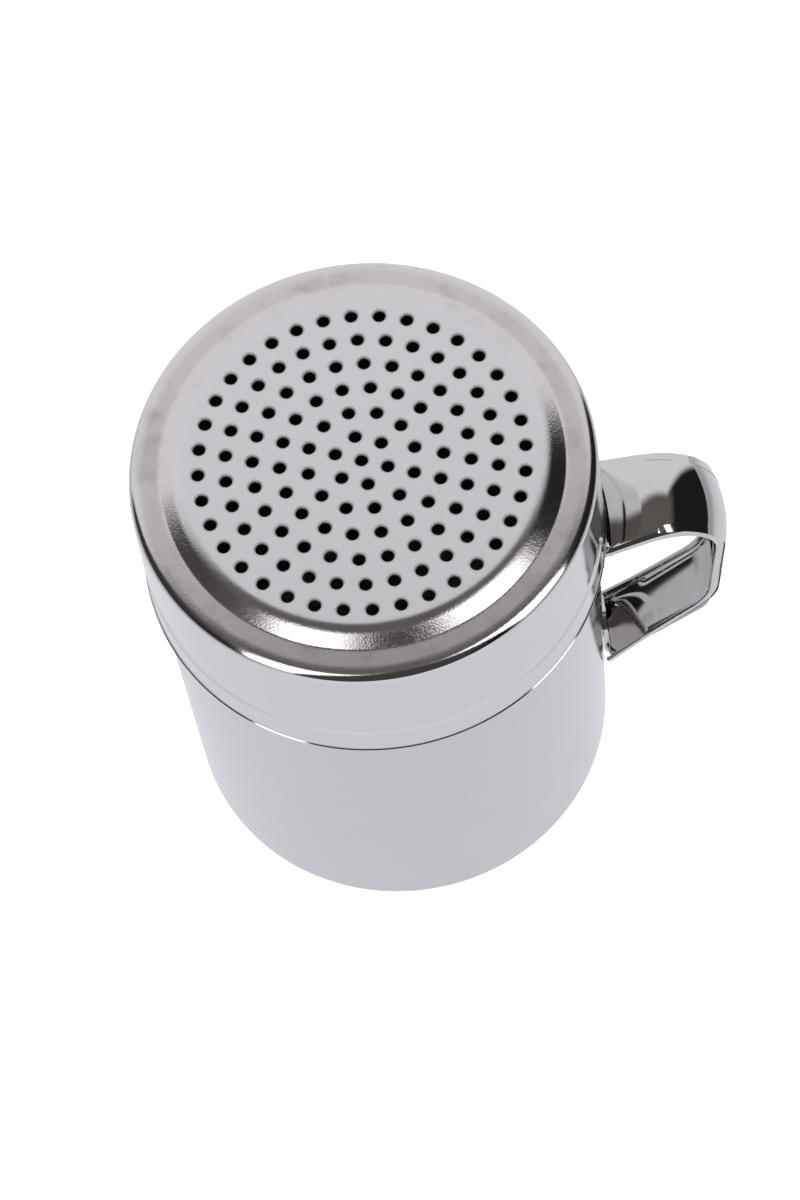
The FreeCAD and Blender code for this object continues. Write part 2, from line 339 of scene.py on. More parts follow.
@dataclass(frozen=True)
class SheetSteel:
    """Stainless steel sheet, in millimetres where it gives sizes.

    Attributes:
        name: The material's name.
        colour: The steel's colour where it reflects white.
        roughness: How far the finish blurs what it reflects.
        grain: The size of the finish's tiny dents.
        grain_depth: How deep they look.
        wave: The size of the sheet's slow dents from forming.
        wave_depth: How deep those look.
        stain: The size of the faint marks of drying and handling.
        stain_colour: The steel's colour under the strongest mark.
        stain_share: How strong the strongest mark is, from 0 to 1.
        stain_spread: The noise's values where a mark starts and where it is strongest.
    """

    name: str
    colour: str
    roughness: float
    grain: float
    grain_depth: float
    wave: float = 9.0
    wave_depth: float = 0.0
    stain: float = 5.0
    stain_colour: str = "#8C8680"
    stain_share: float = 0.2
    stain_spread: Pair = (0.45, 0.8)

    def surface(self, tree: Tree, place: Socket, clean: Any = None, relief: Any = 1.0,
                stained: Any = 1.0) -> Node:
        """Adds the steel's own shader, with its grain and waves as bumps.

        Args:
            tree: The material's node tree.
            place: The point on the piece.
            clean: The unstained colour's socket, where it isn't the same all over.
            relief: How strong the grain is, from 0 to 1, as a number or a socket.
            stained: How strong the marks are, in the same way.

        Returns:
            The shader.
        """
        # Slow waves bend the reflections as thin sheet does, and the grain makes them sparkle
        waves = add_node(tree, "ShaderNodeBump", None, {
            "Height": add_noise(tree, place, self.wave, 1.0), "Distance": self.wave_depth * MM})
        grains = add_node(tree, "ShaderNodeBump", None, {
            "Height": add_noise(tree, place, self.grain, 3.0, 0.6),
            "Distance": self.grain_depth * MM, "Strength": relief,
            "Normal": waves.outputs["Normal"]})
        # Faint brownish clouds, as water and fingers leave them on bare steel
        marks = add_noise(tree, place, self.stain, 7.0, 0.62)
        share = add_range(tree, marks, self.stain_spread, (0.0, self.stain_share))
        colour = add_node(tree, "ShaderNodeMix", {"data_type": "RGBA"}, {
            0: add_math(tree, "MULTIPLY", share, stained), 6: clean or linear(self.colour),
            7: linear(self.stain_colour)})
        return add_node(tree, "ShaderNodeBsdfPrincipled", None, {
            "Base Color": colour.outputs[2], "Metallic": 1.0, "Roughness": self.roughness,
            "Normal": grains.outputs["Normal"]})

    def make(self) -> bpy.types.Material:
        """Builds the material."""
        material = bpy.data.materials.new(self.name)
        tree = empty_tree(material)
        place = add_node(tree, "ShaderNodeTexCoord").outputs["Object"]
        steel = self.surface(tree, place)
        add_node(tree, "ShaderNodeOutputMaterial", None, {"Surface": steel.outputs["BSDF"]})
        return material


@dataclass(frozen=True)
class Ring:
    """The lid's finish from one radius on, blended towards the next ring's.

    Attributes:
        radius: Where it starts, in millimetres from the axis.
        roughness: How far it blurs what it reflects.
        grain: How strong its grain is, from 0 to 1.
        warmth: How far its colour is the ledge's and not the plateau's, from 0 to 1.
    """

    radius: float
    roughness: float
    grain: float
    warmth: float


@dataclass(frozen=True)
class PressedSteel(SheetSteel):
    """The lid's steel, whose finish changes with the distance from the lid's axis.

    The rings take the place of its roughness.

    Attributes:
        ledge_colour: The colour of the matt ledge.
        rings: The finish, from the middle outwards.
        reach: A radius past the last ring, in millimetres.
        hairline: The width of the plateau's brushed lines.
        hairline_length: How many times longer than wide they are.
        hairline_blur: How much they add to the roughness at most.
    """

    ledge_colour: str = "#D8D1CF"
    rings: tuple[Ring, ...] = (
        Ring(0.0, 0.17, 0.06, 0.0),
        Ring(26.8, 0.17, 0.1, 0.0),
        Ring(27.6, 0.1, 1.0, 0.3),
        Ring(30.6, 0.11, 1.0, 0.5),
        Ring(31.2, 0.28, 0.6, 1.0),
        Ring(33.2, 0.27, 0.6, 1.0),
        Ring(33.8, 0.15, 1.0, 0.6),
        Ring(34.8, 0.07, 0.1, 0.08),
    )
    reach: float = 40.0
    hairline: float = 0.35
    hairline_length: float = 30.0
    hairline_blur: float = 0.06

    def surface(self, tree: Tree, place: Socket, clean: Any = None, relief: Any = 1.0,
                stained: Any = 1.0) -> Node:
        """Adds the steel, matt on the flats and bright where the press drew the sheet."""
        flat = add_node(tree, "ShaderNodeVectorMath", {"operation": "MULTIPLY"}, {
            0: place, 1: (1, 1, 0)})
        radius = add_node(tree, "ShaderNodeVectorMath", {"operation": "LENGTH"}, {
            0: flat.outputs["Vector"]})
        share = add_math(tree, "DIVIDE", radius.outputs["Value"], self.reach * MM)
        # The ramp's red carries the roughness, its green the grain and its blue the warmth
        stops = [(ring.radius / self.reach, (ring.roughness, ring.grain, ring.warmth))
                 for ring in self.rings]
        kinds = add_node(tree, "ShaderNodeSeparateColor", None, {
            "Color": add_ramp(tree, share, stops)}).outputs
        # Fine lines along X that dull the plateau unevenly, as the brushed sheet came
        along = add_node(tree, "ShaderNodeMapping", None, {
            "Vector": place, "Scale": (1 / self.hairline_length, 1, 1)})
        hairs = add_noise(tree, along.outputs["Vector"], self.hairline, 2.0)
        base = add_node(tree, "ShaderNodeMix", {"data_type": "RGBA"}, {
            0: kinds["Blue"], 6: linear(self.colour), 7: linear(self.ledge_colour)})
        steel = super().surface(tree, place, base.outputs[2], kinds["Green"], kinds["Blue"])
        blurred = add_math(tree, "MULTIPLY_ADD", hairs, self.hairline_blur, kinds["Red"])
        tree.links.new(blurred, steel.inputs["Roughness"])
        return steel


def finishes() -> dict[str, SheetSteel]:
    """The shaker's kinds of steel, each named for how it was made."""
    return {
        # A bright skin with a soft blur, so that the table shades the cup without a sharp edge
        "cup": SheetSteel("bright drawn stainless", "#D3D2D3", roughness=0.12, grain=0.6,
                          grain_depth=0.0004, wave=14.0, wave_depth=0.01, stain=9.0,
                          stain_share=0.05),
        # A dull brown-grey inside: a duller finish than the outside, and darker as painted shade,
        # so that the open cup looks deep and the holes look black
        "inside": SheetSteel("dull drawn stainless with painted shade", "#A49E99", roughness=0.5, grain=0.4,
                             grain_depth=0.002),
        # A satin plateau, a matt warm ledge, and a bright grainy wall and shoulder between them
        "lid": PressedSteel("pressed satin stainless", "#DBDADC", roughness=0.26, grain=0.28,
                            grain_depth=0.021, stain_share=0.5),
        # Pale and rough, so that each hole has a soft grey crescent inside its far rim
        "cut": SheetSteel("sheared stainless edge", "#E2DEDC", roughness=0.65, grain=0.15,
                          grain_depth=0.01),
        # A mirror with slow waves, so that the handle shows hard patches of white and black
        "handle": SheetSteel("tumbled stainless strip", "#D6D4D3", roughness=0.05, grain=1.5,
                             grain_depth=0.0003, wave=8.0, wave_depth=0.03),
        # Dull and dark, so that the welds stay quiet between the tabs and the cup
        "weld": SheetSteel("fused stainless weld", "#A8A4A0", roughness=0.4, grain=0.3,
                           grain_depth=0.004),
    }


# The shaker's pieces


@dataclass
class Cup:
    """The drawn cup.

    Attributes:
        radius: Outside radius, in millimetres, as are the other sizes.
        height: Height of the rim.
        neck_height: Where the wall starts to draw in under the lid.
        sheet: Thickness of the sheet.
        corner: Outside radius of the bend round the base.
        neck_inset: How far the neck is drawn in.
        neck_taper: Height of the draw-in, and the radius of its bends.
        steps: How many steps go round.
        arc_steps: How many steps a bend has.
    """

    radius: float
    height: float
    neck_height: float
    sheet: float = 0.5
    corner: float = 4.0
    neck_inset: float = 0.2
    neck_taper: float = 2.0
    steps: int = 256
    arc_steps: int = 10

    def build(self, finish: SheetSteel, inside: SheetSteel) -> Object:
        """Makes the cup and gives it a finish outside and another, darkened with painted shade,
        inside.
        """
        neck = self.radius - self.neck_inset
        bottom = self.radius - self.corner
        corners = [
            Corner(bottom / 2, 0),
            Corner(self.radius, 0, self.corner),
            Corner(self.radius, self.neck_height, self.neck_taper),
            Corner(neck, self.neck_height + self.neck_taper, self.neck_taper),
            Corner(neck, self.height),
        ]
        points = rounded_profile(corners, self.arc_steps)
        piece = spin_sheet("drawn_cup", points, self.steps, self.sheet)
        smooth(piece)
        piece.data.materials.append(finish.make())
        piece.data.materials.append(inside.make())
        self.line(piece)
        return piece

    def line(self, piece: Object) -> None:
        """Gives the faces that look into the cup the second material, the one darkened with
        painted shade.
        """
        middle = Vector((0, 0, self.height * MM / 2))
        for face in piece.data.polygons:
            if face.normal.dot(middle - face.center) > 0 and face.center.z < self.height * MM:
                face.material_index = 1


@dataclass
class PerforatedLid:
    """The press-on lid, in millimetres.

    Attributes:
        edge_radius: Outside radius of the skirt's lower edge.
        edge_height: Height of that edge.
        top: Height of the plateau.
        sheet: Thickness of the sheet.
        skirt_flare: How much wider the skirt is at its foot than at the shoulder.
        shoulder_bend: Radius of the bend from the ledge into the skirt.
        ledge_width: From the shoulder's corner in to the wall's foot.
        droop_inset: From the shoulder's corner in to where the ledge starts to fall faster.
        ledge_droop: How far the ledge has sunk there.
        ledge_fall: How much further it sinks from there to the corner.
        droop_bend: Radius of the bend there.
        crease_bend: Radius of the bend at the wall's foot.
        wall_width: Width of the sloping wall, seen from above.
        plateau_height: Height of the plateau above the wall's foot.
        plateau_bend: Radius of the bend at the plateau's edge.
        bead_up: Height of the bead's lower end above the skirt's edge.
        bead_width: Height of the sunk bead.
        bead_depth: How far it is sunk.
        bead_slope: Height of the slope at each of its ends.
        bead_bend: Radius of its bends.
        lip_height: Height of the flared lip at the skirt's edge.
        lip_flare: How far the lip stands out.
        lip_edge: Height of the lip's upright edge.
        lip_bend: Radius of its bends.
        hole_rounding: Radius of a hole's rim.
        hole_throat: Diameter of a hole below its rim.
        hole_sides: How many sides a hole has.
        rim_steps: How many steps its rim has.
        rim_tilt: The least slope of a face that counts as a hole's rim, in degrees.
        ring_pitch: From one ring of holes to the next.
        edge_margin: From the plateau's corner in to where its middle is flat.
        holes_per_ring: How many more holes a ring has than the one inside it.
        first_hole_angle: Where each ring starts, from +X towards +Y, in degrees.
        steps: How many steps go round.
        arc_steps: How many steps a bend has.
        radius: Outside radius at the shoulder's corner.
        crease: Height of the wall's foot.
        ledge: Height of the ledge where it starts to fall faster.
        plateau_radius: Radius of the plateau's corner.
    """

    edge_radius: float
    edge_height: float
    top: float
    sheet: float = 0.5
    skirt_flare: float = 0.6
    shoulder_bend: float = 1.6
    ledge_width: float = 4.8
    droop_inset: float = 2.2
    ledge_droop: float = 0.16
    ledge_fall: float = 0.3
    droop_bend: float = 6.0
    crease_bend: float = 1.0
    wall_width: float = 2.8
    plateau_height: float = 1.25
    plateau_bend: float = 5.2
    bead_up: float = 6.0
    bead_width: float = 3.5
    bead_depth: float = 0.3
    bead_slope: float = 0.6
    bead_bend: float = 1.2
    lip_height: float = 0.32
    lip_flare: float = 0.2
    lip_edge: float = 0.1
    lip_bend: float = 0.1
    hole_rounding: float = 0.3
    hole_throat: float = 1.92
    hole_sides: int = 32
    rim_steps: int = 4
    rim_tilt: float = 5.0
    ring_pitch: float = 4.11
    edge_margin: float = 1.6
    holes_per_ring: int = 6
    first_hole_angle: float = 35.8
    steps: int = 256
    arc_steps: int = 8
    radius: float = field(init=False)
    crease: float = field(init=False)
    ledge: float = field(init=False)
    plateau_radius: float = field(init=False)

    def __post_init__(self) -> None:
        """Works out the sizes that follow from the others."""
        self.radius = self.edge_radius - self.lip_flare - self.skirt_flare
        self.crease = self.top - self.plateau_height
        self.ledge = self.crease - self.ledge_droop
        self.plateau_radius = self.radius - self.ledge_width - self.wall_width

    def skirt(self, height: float, depth: float, rounding: float) -> Corner:
        """A corner on the flared skirt, sunk by a depth."""
        fallen = (self.ledge - height) / (self.ledge - self.edge_height)
        return Corner(self.radius + self.skirt_flare * fallen - depth, height, rounding)

    def profile(self) -> list[Vector]:
        """The outside, from the plateau out and down to the skirt's edge."""
        bead_low = self.edge_height + self.bead_up
        bead_high = bead_low + self.bead_width
        corners = [
            Corner(self.plateau_radius - self.edge_margin, self.top),
            Corner(self.plateau_radius, self.top, self.plateau_bend),
            Corner(self.radius - self.ledge_width, self.crease, self.crease_bend),
            Corner(self.radius - self.droop_inset, self.ledge, self.droop_bend),
            Corner(self.radius, self.ledge - self.ledge_fall, self.shoulder_bend),
            self.skirt(bead_high + self.bead_slope, 0, self.bead_bend),
            self.skirt(bead_high, self.bead_depth, self.bead_bend),
            self.skirt(bead_low, self.bead_depth, self.bead_bend),
            self.skirt(bead_low - self.bead_slope, 0, self.bead_bend),
            self.skirt(self.edge_height + self.lip_height, 0, self.lip_bend),
            Corner(self.edge_radius, self.edge_height + self.lip_edge, self.lip_bend),
            Corner(self.edge_radius, self.edge_height),
        ]
        return rounded_profile(corners, self.arc_steps)

    def hole_centres(self) -> list[Vector]:
        """The holes' centres, in metres: one in the middle, and rings of six more each."""
        centres = [Vector((0, 0, self.top * MM))]
        rings = int((self.plateau_radius - self.edge_margin) / self.ring_pitch)
        for ring in range(1, rings + 1):
            holes = self.holes_per_ring * ring
            for hole in range(holes):
                angle = math.radians(self.first_hole_angle) + FULL_TURN * hole / holes
                arm = Vector((math.cos(angle), math.sin(angle), 0)) * (ring * self.ring_pitch * MM)
                centres.append(centres[0] + arm)
        return centres

    def punch(self, piece: Object) -> None:
        """Cuts all the holes with one set of punches, and rounds their upper edges."""
        centres = self.hole_centres()
        radius = self.hole_throat / 2 * MM
        first = added(bpy.ops.mesh.primitive_cylinder_add, vertices=self.hole_sides,
                      radius=radius, depth=4 * self.sheet * MM, location=centres[0])
        for centre in centres[1:]:
            punch = first.copy()
            punch.data = first.data.copy()
            punch.location = centre
            bpy.context.scene.collection.objects.link(punch)
            punch.select_set(True)
        bpy.ops.object.join()
        apply_modifier(piece, "BOOLEAN", operation="DIFFERENCE", object=first, solver="EXACT")
        bpy.data.objects.remove(first)

        vertices = piece.data.vertices
        longest = 1.5 * FULL_TURN * radius / self.hole_sides
        on_rim = set()
        for vertex in vertices:
            if abs(vertex.co.z - self.top * MM) < ON_SHAPE:
                nearest = min((vertex.co.xy - centre.xy).length for centre in centres)
                if abs(nearest - radius) < ON_SHAPE:
                    on_rim.add(vertex.index)

        def is_rim(edge: bpy.types.MeshEdge) -> bool:
            ends = [vertices[index].co for index in edge.vertices]
            return on_rim.issuperset(edge.vertices) and (ends[0] - ends[1]).length < longest

        found = select_in_mesh(piece, "EDGE", is_rim)
        log.info("rounding %d rim edges of %d holes", found, len(centres))
        bpy.ops.mesh.bevel(offset=self.hole_rounding * MM, segments=self.rim_steps,
                           affect="EDGES", clamp_overlap=False)
        bpy.ops.object.mode_set(mode="OBJECT")

    def mark_edges(self, piece: Object) -> None:
        """Gives the holes' walls and rounded rims the second material."""
        rim = (self.hole_throat / 2 + self.hole_rounding) * MM
        reach = max(centre.xy.length for centre in self.hole_centres()) + rim
        lowest = (self.top - 2 * self.sheet) * MM
        for face in piece.data.polygons:
            at_hole = face.center.xy.length < reach and face.center.z > lowest
            if at_hole and abs(face.normal.z) < math.cos(math.radians(self.rim_tilt)):
                face.material_index = 1

    def build(self, finish: SheetSteel, cut: SheetSteel) -> Object:
        """Makes the lid and gives it its finish, and another on the holes' cut edges."""
        piece = spin_sheet("pressed_lid", self.profile(), self.steps, self.sheet)
        self.punch(piece)
        smooth(piece)
        piece.data.materials.append(finish.make())
        piece.data.materials.append(cut.make())
        self.mark_edges(piece)
        return piece


@dataclass(frozen=True)
class Station:
    """A place along the handle's strip.

    Attributes:
        place: The point on the strip's outside line, in millimetres.
        heading: The strip's direction there, from +Z towards +X, in radians.
        share: How much of the way along the limb it is, or None on a tab.
        lying: How far a tab has come to lie on the cup, from 0 to 1.
        from_end: The distance to the tab's free end, in millimetres.
    """

    place: Vector
    heading: float
    share: float | None
    lying: float = 0.0
    from_end: float = 0.0

    def forward(self) -> Vector:
        """The way that the strip runs."""
        return Vector((math.sin(self.heading), 0, math.cos(self.heading)))

    def inward(self) -> Vector:
        """The way from the strip's outside to its inside."""
        return Vector((math.cos(self.heading), 0, -math.sin(self.heading)))


def eased(share: float) -> float:
    """A share from 0 to 1, eased in and out."""
    return share * share * (3 - 2 * share)


@dataclass
class Handle:
    """The channel-strip handle, folded from one strip, in millimetres.

    Attributes:
        cup_radius: Outside radius of the cup that it is welded to.
        lid_edge: Height of the lid's lower edge, which its upper limb starts below.
        sheet: Thickness of the strip.
        weld_gap: The gap between the tabs and the cup, which the welds fill.
        reach: From the cup's wall to the knuckle's corner.
        root_drop: How far the upper foot is below the lid's edge.
        rise: How far the knuckle's corner is above the upper foot.
        grip_drop: From the knuckle's corner down to the elbow's.
        lean: How much nearer to the cup the elbow's corner is.
        tail_drop: From the elbow's corner down to the lower foot.
        knuckle_bend: Radius of the bend at the grip's upper end.
        elbow_bend: Radius of the bend at its lower end.
        widths: The channel's widths at shares of the limb's length.
        root_crown: How far the web is arched across, at the upper foot.
        root_depth: The channel's depth there.
        grip_crown: How far the web is arched across, on the grip.
        grip_depth: The channel's depth there.
        growth_share: The share of the limb over which the section grows.
        lip_bend: Radius of the bend from the web into a lip.
        tab_bend: Radius of the bend from the limb into a tab.
        tab_length: Length of a tab.
        heel: The length over which a tab comes to lie on the cup.
        tab_corner: Radius of a tab's corners.
        tab_widths: Widths of the upper and the lower tab.
        wing_gap: The gap between the channel's sides and the cup.
        wing_rows: How many rows of faces the sides have past the web.
        web_columns: How many columns of faces half the web has.
        lip_columns: How many columns the bend into a lip has.
        spacing: The longest step along the strip.
        least_steps: The fewest steps that a leg or a bend has.
        edge_rounding: How far the strip's edges are rounded.
        twist: How far the limb is twisted about its own line, in degrees.
        twist_share: The share of the limb over which the twist grows at each end.
    """

    cup_radius: float
    lid_edge: float
    sheet: float = 0.6
    weld_gap: float = 0.1
    reach: float = 21.36
    root_drop: float = 1.7
    rise: float = 4.6
    grip_drop: float = 34.5
    lean: float = 1.6
    tail_drop: float = 19.5
    knuckle_bend: float = 11.4
    elbow_bend: float = 13.9
    widths: tuple[Pair, ...] = ((0, 16.6), (0.23, 13.2), (0.66, 11.0), (1, 12.4))
    root_crown: float = 0.42
    root_depth: float = 1.6
    grip_crown: float = 0.9
    grip_depth: float = 2.3
    growth_share: float = 0.23
    lip_bend: float = 1.2
    tab_bend: float = 0.9
    tab_length: float = 10.5
    heel: float = 2.5
    tab_corner: float = 3.0
    tab_widths: Pair = (13.2, 9.2)
    wing_gap: float = 0.3
    wing_rows: int = 3
    web_columns: int = 8
    lip_columns: int = 5
    spacing: float = 0.7
    least_steps: int = 6
    edge_rounding: float = 0.12
    twist: float = 2.6
    twist_share: float = 0.15

    def corners(self) -> list[Vector]:
        """The corners of the outside line: upper foot, knuckle, elbow and lower foot."""
        foot = self.cup_radius + self.weld_gap
        outside = self.cup_radius + self.reach
        upper_foot = Vector((foot, 0, self.lid_edge - self.root_drop))
        knuckle = Vector((outside, 0, upper_foot.z + self.rise))
        elbow = Vector((outside - self.lean, 0, knuckle.z - self.grip_drop))
        return [upper_foot, knuckle, elbow, Vector((foot, 0, elbow.z - self.tail_drop))]

    def stations(self) -> list[Station]:
        """Walks the strip from the upper tab's free end to the lower tab's."""
        corners = self.corners()
        legs = [after - before for before, after in zip(corners, corners[1:])]
        headings = [0.0] + [math.atan2(leg.x, leg.z) % FULL_TURN for leg in legs] + [FULL_TURN]
        bends = [self.tab_bend, self.knuckle_bend, self.elbow_bend, self.tab_bend]
        turns = [after - before for before, after in zip(headings, headings[1:])]
        setbacks = [bend * math.tan(turn / 2) for bend, turn in zip(bends, turns)]
        moves = [(self.tab_length, 0.0)]
        for number, (bend, turn) in enumerate(zip(bends, turns)):
            moves.append((bend, turn))
            if number < len(legs):
                moves.append((legs[number].length - setbacks[number] - setbacks[number + 1], 0.0))
        moves.append((self.tab_length, 0.0))
        limb = sum(size * (turn or 1) for size, turn in moves[2:-2])
        place = corners[0] - UP * (setbacks[0] + self.tab_length)
        heading = 0.0
        gone = 0.0
        walk = [Station(place, heading, None, 1.0, 0.0)]
        for number, (size, turn) in enumerate(moves):
            length = size * (turn or 1)
            steps = max(self.least_steps, math.ceil(length / self.spacing))
            on_limb = 2 <= number < len(moves) - 2
            for step in range(1, steps + 1):
                here = walk[-1]
                if turn:
                    centre = here.place + here.inward() * size
                    heading = here.heading + turn / steps
                    place = centre - Station(centre, heading, None).inward() * size
                else:
                    place = here.place + here.forward() * (length / steps)
                gone += length / steps if on_limb else 0
                share = gone / limb if on_limb else None
                walked = length * step / steps
                left = walked if number == 0 else length - walked
                at_tab = number in (0, len(moves) - 1)
                heel_gone = (length - walked if number == 0 else walked) / self.heel
                lying = eased(min(1, heel_gone)) if at_tab else 0.0
                from_end = left if at_tab else self.tab_length
                walk.append(Station(place, heading, share, lying, from_end))
        return walk

    def width_at(self, share: float) -> float:
        """The channel's width at a share of the limb, on the smooth curve through its stations."""
        total = 0.0
        for here, value in self.widths:
            for other, _ in self.widths:
                if other != here:
                    value *= (share - other) / (here - other)
            total += value
        return total

    def half_section(self, share: float) -> list[Pair]:
        """The channel's outside at a share of the limb, from its middle to one lip's edge.

        Returns:
            The offset from the middle and the depth below the crown of each column.
        """
        grown = eased(min(1, share / self.growth_share))
        crown = self.root_crown + (self.grip_crown - self.root_crown) * grown
        depth = self.root_depth + (self.grip_depth - self.root_depth) * grown
        tab = (self.tab_widths[0] * (1 - share) + self.tab_widths[1] * share) / 2
        half = self.width_at(share) / 2
        fall = crown / half ** 2
        web_end = half - self.lip_bend
        slant = math.atan(2 * fall * web_end)
        web_end += self.lip_bend * math.sin(slant)
        offsets = [tab * column / self.web_columns for column in range(self.web_columns + 1)]
        offsets.append(web_end)
        section = [(offset, fall * offset ** 2) for offset in offsets]
        centre = fall * web_end ** 2 + self.lip_bend * math.cos(slant)
        for column in range(1, self.lip_columns + 1):
            turn = slant + (math.pi / 2 - slant) * column / self.lip_columns
            offset = half - self.lip_bend * (1 - math.sin(turn))
            section.append((offset, centre - self.lip_bend * math.cos(turn)))
        section.append((half, depth))
        return section

    @staticmethod
    def limb_ends(walk: list[Station]) -> tuple[int, int]:
        """The number of the last row before the limb, and of the last row on it."""
        on_limb = [row for row, station in enumerate(walk) if station.share is not None]
        return on_limb[0] - 1, on_limb[-1]

    def place_of(self, walk: list[Station], root: int, row: int, column: int) -> Vector:
        """Where a point of the strip lies, in metres.

        Args:
            walk: The stations, one for each row.
            root: The number of the last row before the limb.
            row: The station's number.
            column: Columns from the strip's middle, negative on one side.
        """
        station = walk[row]
        upper = row <= root
        on_tab = station.share is None
        share = (0.0 if upper else 1.0) if on_tab else station.share
        side = math.copysign(1, column)
        offset, sink = self.half_section(share)[abs(column)]
        if on_tab and row < root and abs(column) > self.web_columns:
            return self.wing_place(walk[root], offset, sink, (root - row) / self.wing_rows, column)
        if on_tab:
            cut = max(0.0, self.tab_corner - station.from_end)
            tab_half = self.tab_widths[0 if upper else 1] / 2
            rounded = tab_half - self.tab_corner + math.sqrt(self.tab_corner ** 2 - cut ** 2)
            offset *= rounded / tab_half
            foot = self.cup_radius + self.weld_gap
            wrapped = math.sqrt(foot ** 2 - offset ** 2) - foot
            sink = sink * (1 - station.lying) + wrapped * station.lying
        else:
            grown = eased(min(1, min(share, 1 - share) / self.twist_share))
            sink -= math.tan(math.radians(self.twist)) * grown * side * offset
        return (station.place + station.inward() * sink + Vector((0, side * offset, 0))) * MM

    def wing_place(self, root: Station, offset: float, sink: float, share: float,
                   column: int) -> Vector:
        """A point of the channel's side past its web, which runs on until it meets the cup."""
        start = root.place + root.inward() * sink
        wall = math.sqrt((self.cup_radius + self.weld_gap + self.wing_gap) ** 2 - offset ** 2)
        length = (start.x - wall) / root.forward().x
        place = start - root.forward() * (length * min(1.0, share))
        return (place + Vector((0, math.copysign(offset, column), 0))) * MM

    def build(self, finish: SheetSteel) -> Object:
        """Makes the handle and gives it its finish."""
        walk = self.stations()
        side_columns = self.web_columns + 2 + self.lip_columns
        columns = 2 * side_columns
        rows = len(walk) - 1
        piece = added(bpy.ops.mesh.primitive_grid_add, x_subdivisions=columns,
                      y_subdivisions=rows, size=MM, location=(0, 0, 0))
        piece.name = "strip_handle"
        piece.data.name = "strip_handle"
        root, tail = self.limb_ends(walk)
        at = {}
        for vertex in piece.data.vertices:
            column = round((vertex.co.x / MM + 0.5) * columns) - side_columns
            row = round((vertex.co.y / MM + 0.5) * rows)
            at[vertex.index] = (row, column)
        for vertex in piece.data.vertices:
            vertex.co = self.place_of(walk, root, *at[vertex.index])

        def spare(face: bpy.types.MeshPolygon) -> bool:
            cells = [at[index] for index in face.vertices]
            row = min(cell[0] for cell in cells)
            outer = max(abs(cell[1]) for cell in cells)
            if root <= row < tail or outer <= self.web_columns:
                return False
            relief = outer == self.web_columns + 1
            return relief or row < root - self.wing_rows or row >= tail

        select_in_mesh(piece, "FACE", spare)
        bpy.ops.mesh.delete(type="FACE")
        bpy.ops.mesh.select_all(action="SELECT")
        bpy.ops.mesh.normals_make_consistent(inside=False)
        bpy.ops.object.mode_set(mode="OBJECT")
        crown = piece.data.polygons[len(piece.data.polygons) // 2]
        if crown.normal.x < 0:
            piece.data.flip_normals()
        apply_modifier(piece, "SOLIDIFY", thickness=self.sheet * MM, offset=-1,
                       use_quality_normals=True)
        apply_modifier(piece, "BEVEL", width=self.edge_rounding * MM, segments=2,
                       limit_method="ANGLE", angle_limit=math.radians(60))
        smooth(piece)
        piece.data.materials.append(finish.make())
        return piece


# The studio


def way_to(azimuth: float, elevation: float) -> Vector:
    """The way to a place round the shaker, from its azimuth and elevation in degrees."""
    turn, climb = math.radians(azimuth), math.radians(elevation)
    return Vector((math.cos(turn) * math.cos(climb), math.sin(turn) * math.cos(climb),
                   math.sin(climb)))


@dataclass(frozen=True)
class PhotoCamera:
    """The camera at the photograph's place, which looks down at the lid.

    Attributes:
        aim: The point on the line of sight beside the cup's middle, in millimetres.
        distance: From that point to the camera, in millimetres.
        elevation: Of the camera above the horizon, in degrees.
        azimuth: Of the camera round the cup, from +X towards +Y, in degrees.
        roll: How far the camera is turned about its line of sight, in degrees.
        lens: Focal length, in millimetres.
        sensor: The sensor's length along the picture's long side, in millimetres.
    """

    aim: tuple[float, float, float] = (2.387, -1.611, 47.0)
    distance: float = 589.26
    elevation: float = 64.905
    azimuth: float = -89.928
    roll: float = -9.096
    lens: float = 109.72
    sensor: float = 36.0

    def build(self) -> Object:
        """Makes the camera and sets it as the scene's."""
        back = way_to(self.azimuth, self.elevation)
        camera = added(bpy.ops.object.camera_add,
                       location=(Vector(self.aim) + back * self.distance) * MM)
        level = (-back).to_track_quat("-Z", "Y")
        camera.rotation_mode = "QUATERNION"
        camera.rotation_quaternion = level @ Quaternion((0, 0, 1), math.radians(self.roll))
        camera.data.sensor_width = self.sensor
        camera.data.lens = self.lens
        camera.data.clip_start = 0.01
        bpy.context.scene.camera = camera
        return camera


@dataclass(frozen=True)
class Softbox:
    """A rectangular soft light that faces the shaker.

    Attributes:
        name: Its name.
        azimuth: Where it stands, from +X towards +Y, in degrees.
        elevation: Its height above the horizon, in degrees.
        distance: From the shaker, in metres.
        size: Its width and height, in metres.
        power: In watts.
    """

    name: str
    azimuth: float
    elevation: float
    distance: float
    size: Pair
    power: float

    def build(self) -> Object:
        """Makes the light."""
        back = way_to(self.azimuth, self.elevation)
        lamp = added(bpy.ops.object.light_add, type="AREA", location=back * self.distance)
        lamp.name = self.name
        lamp.rotation_mode = "QUATERNION"
        lamp.rotation_quaternion = (-back).to_track_quat("-Z", "Y")
        lamp.data.shape = "RECTANGLE"
        lamp.data.size, lamp.data.size_y = self.size
        lamp.data.energy = self.power
        return lamp


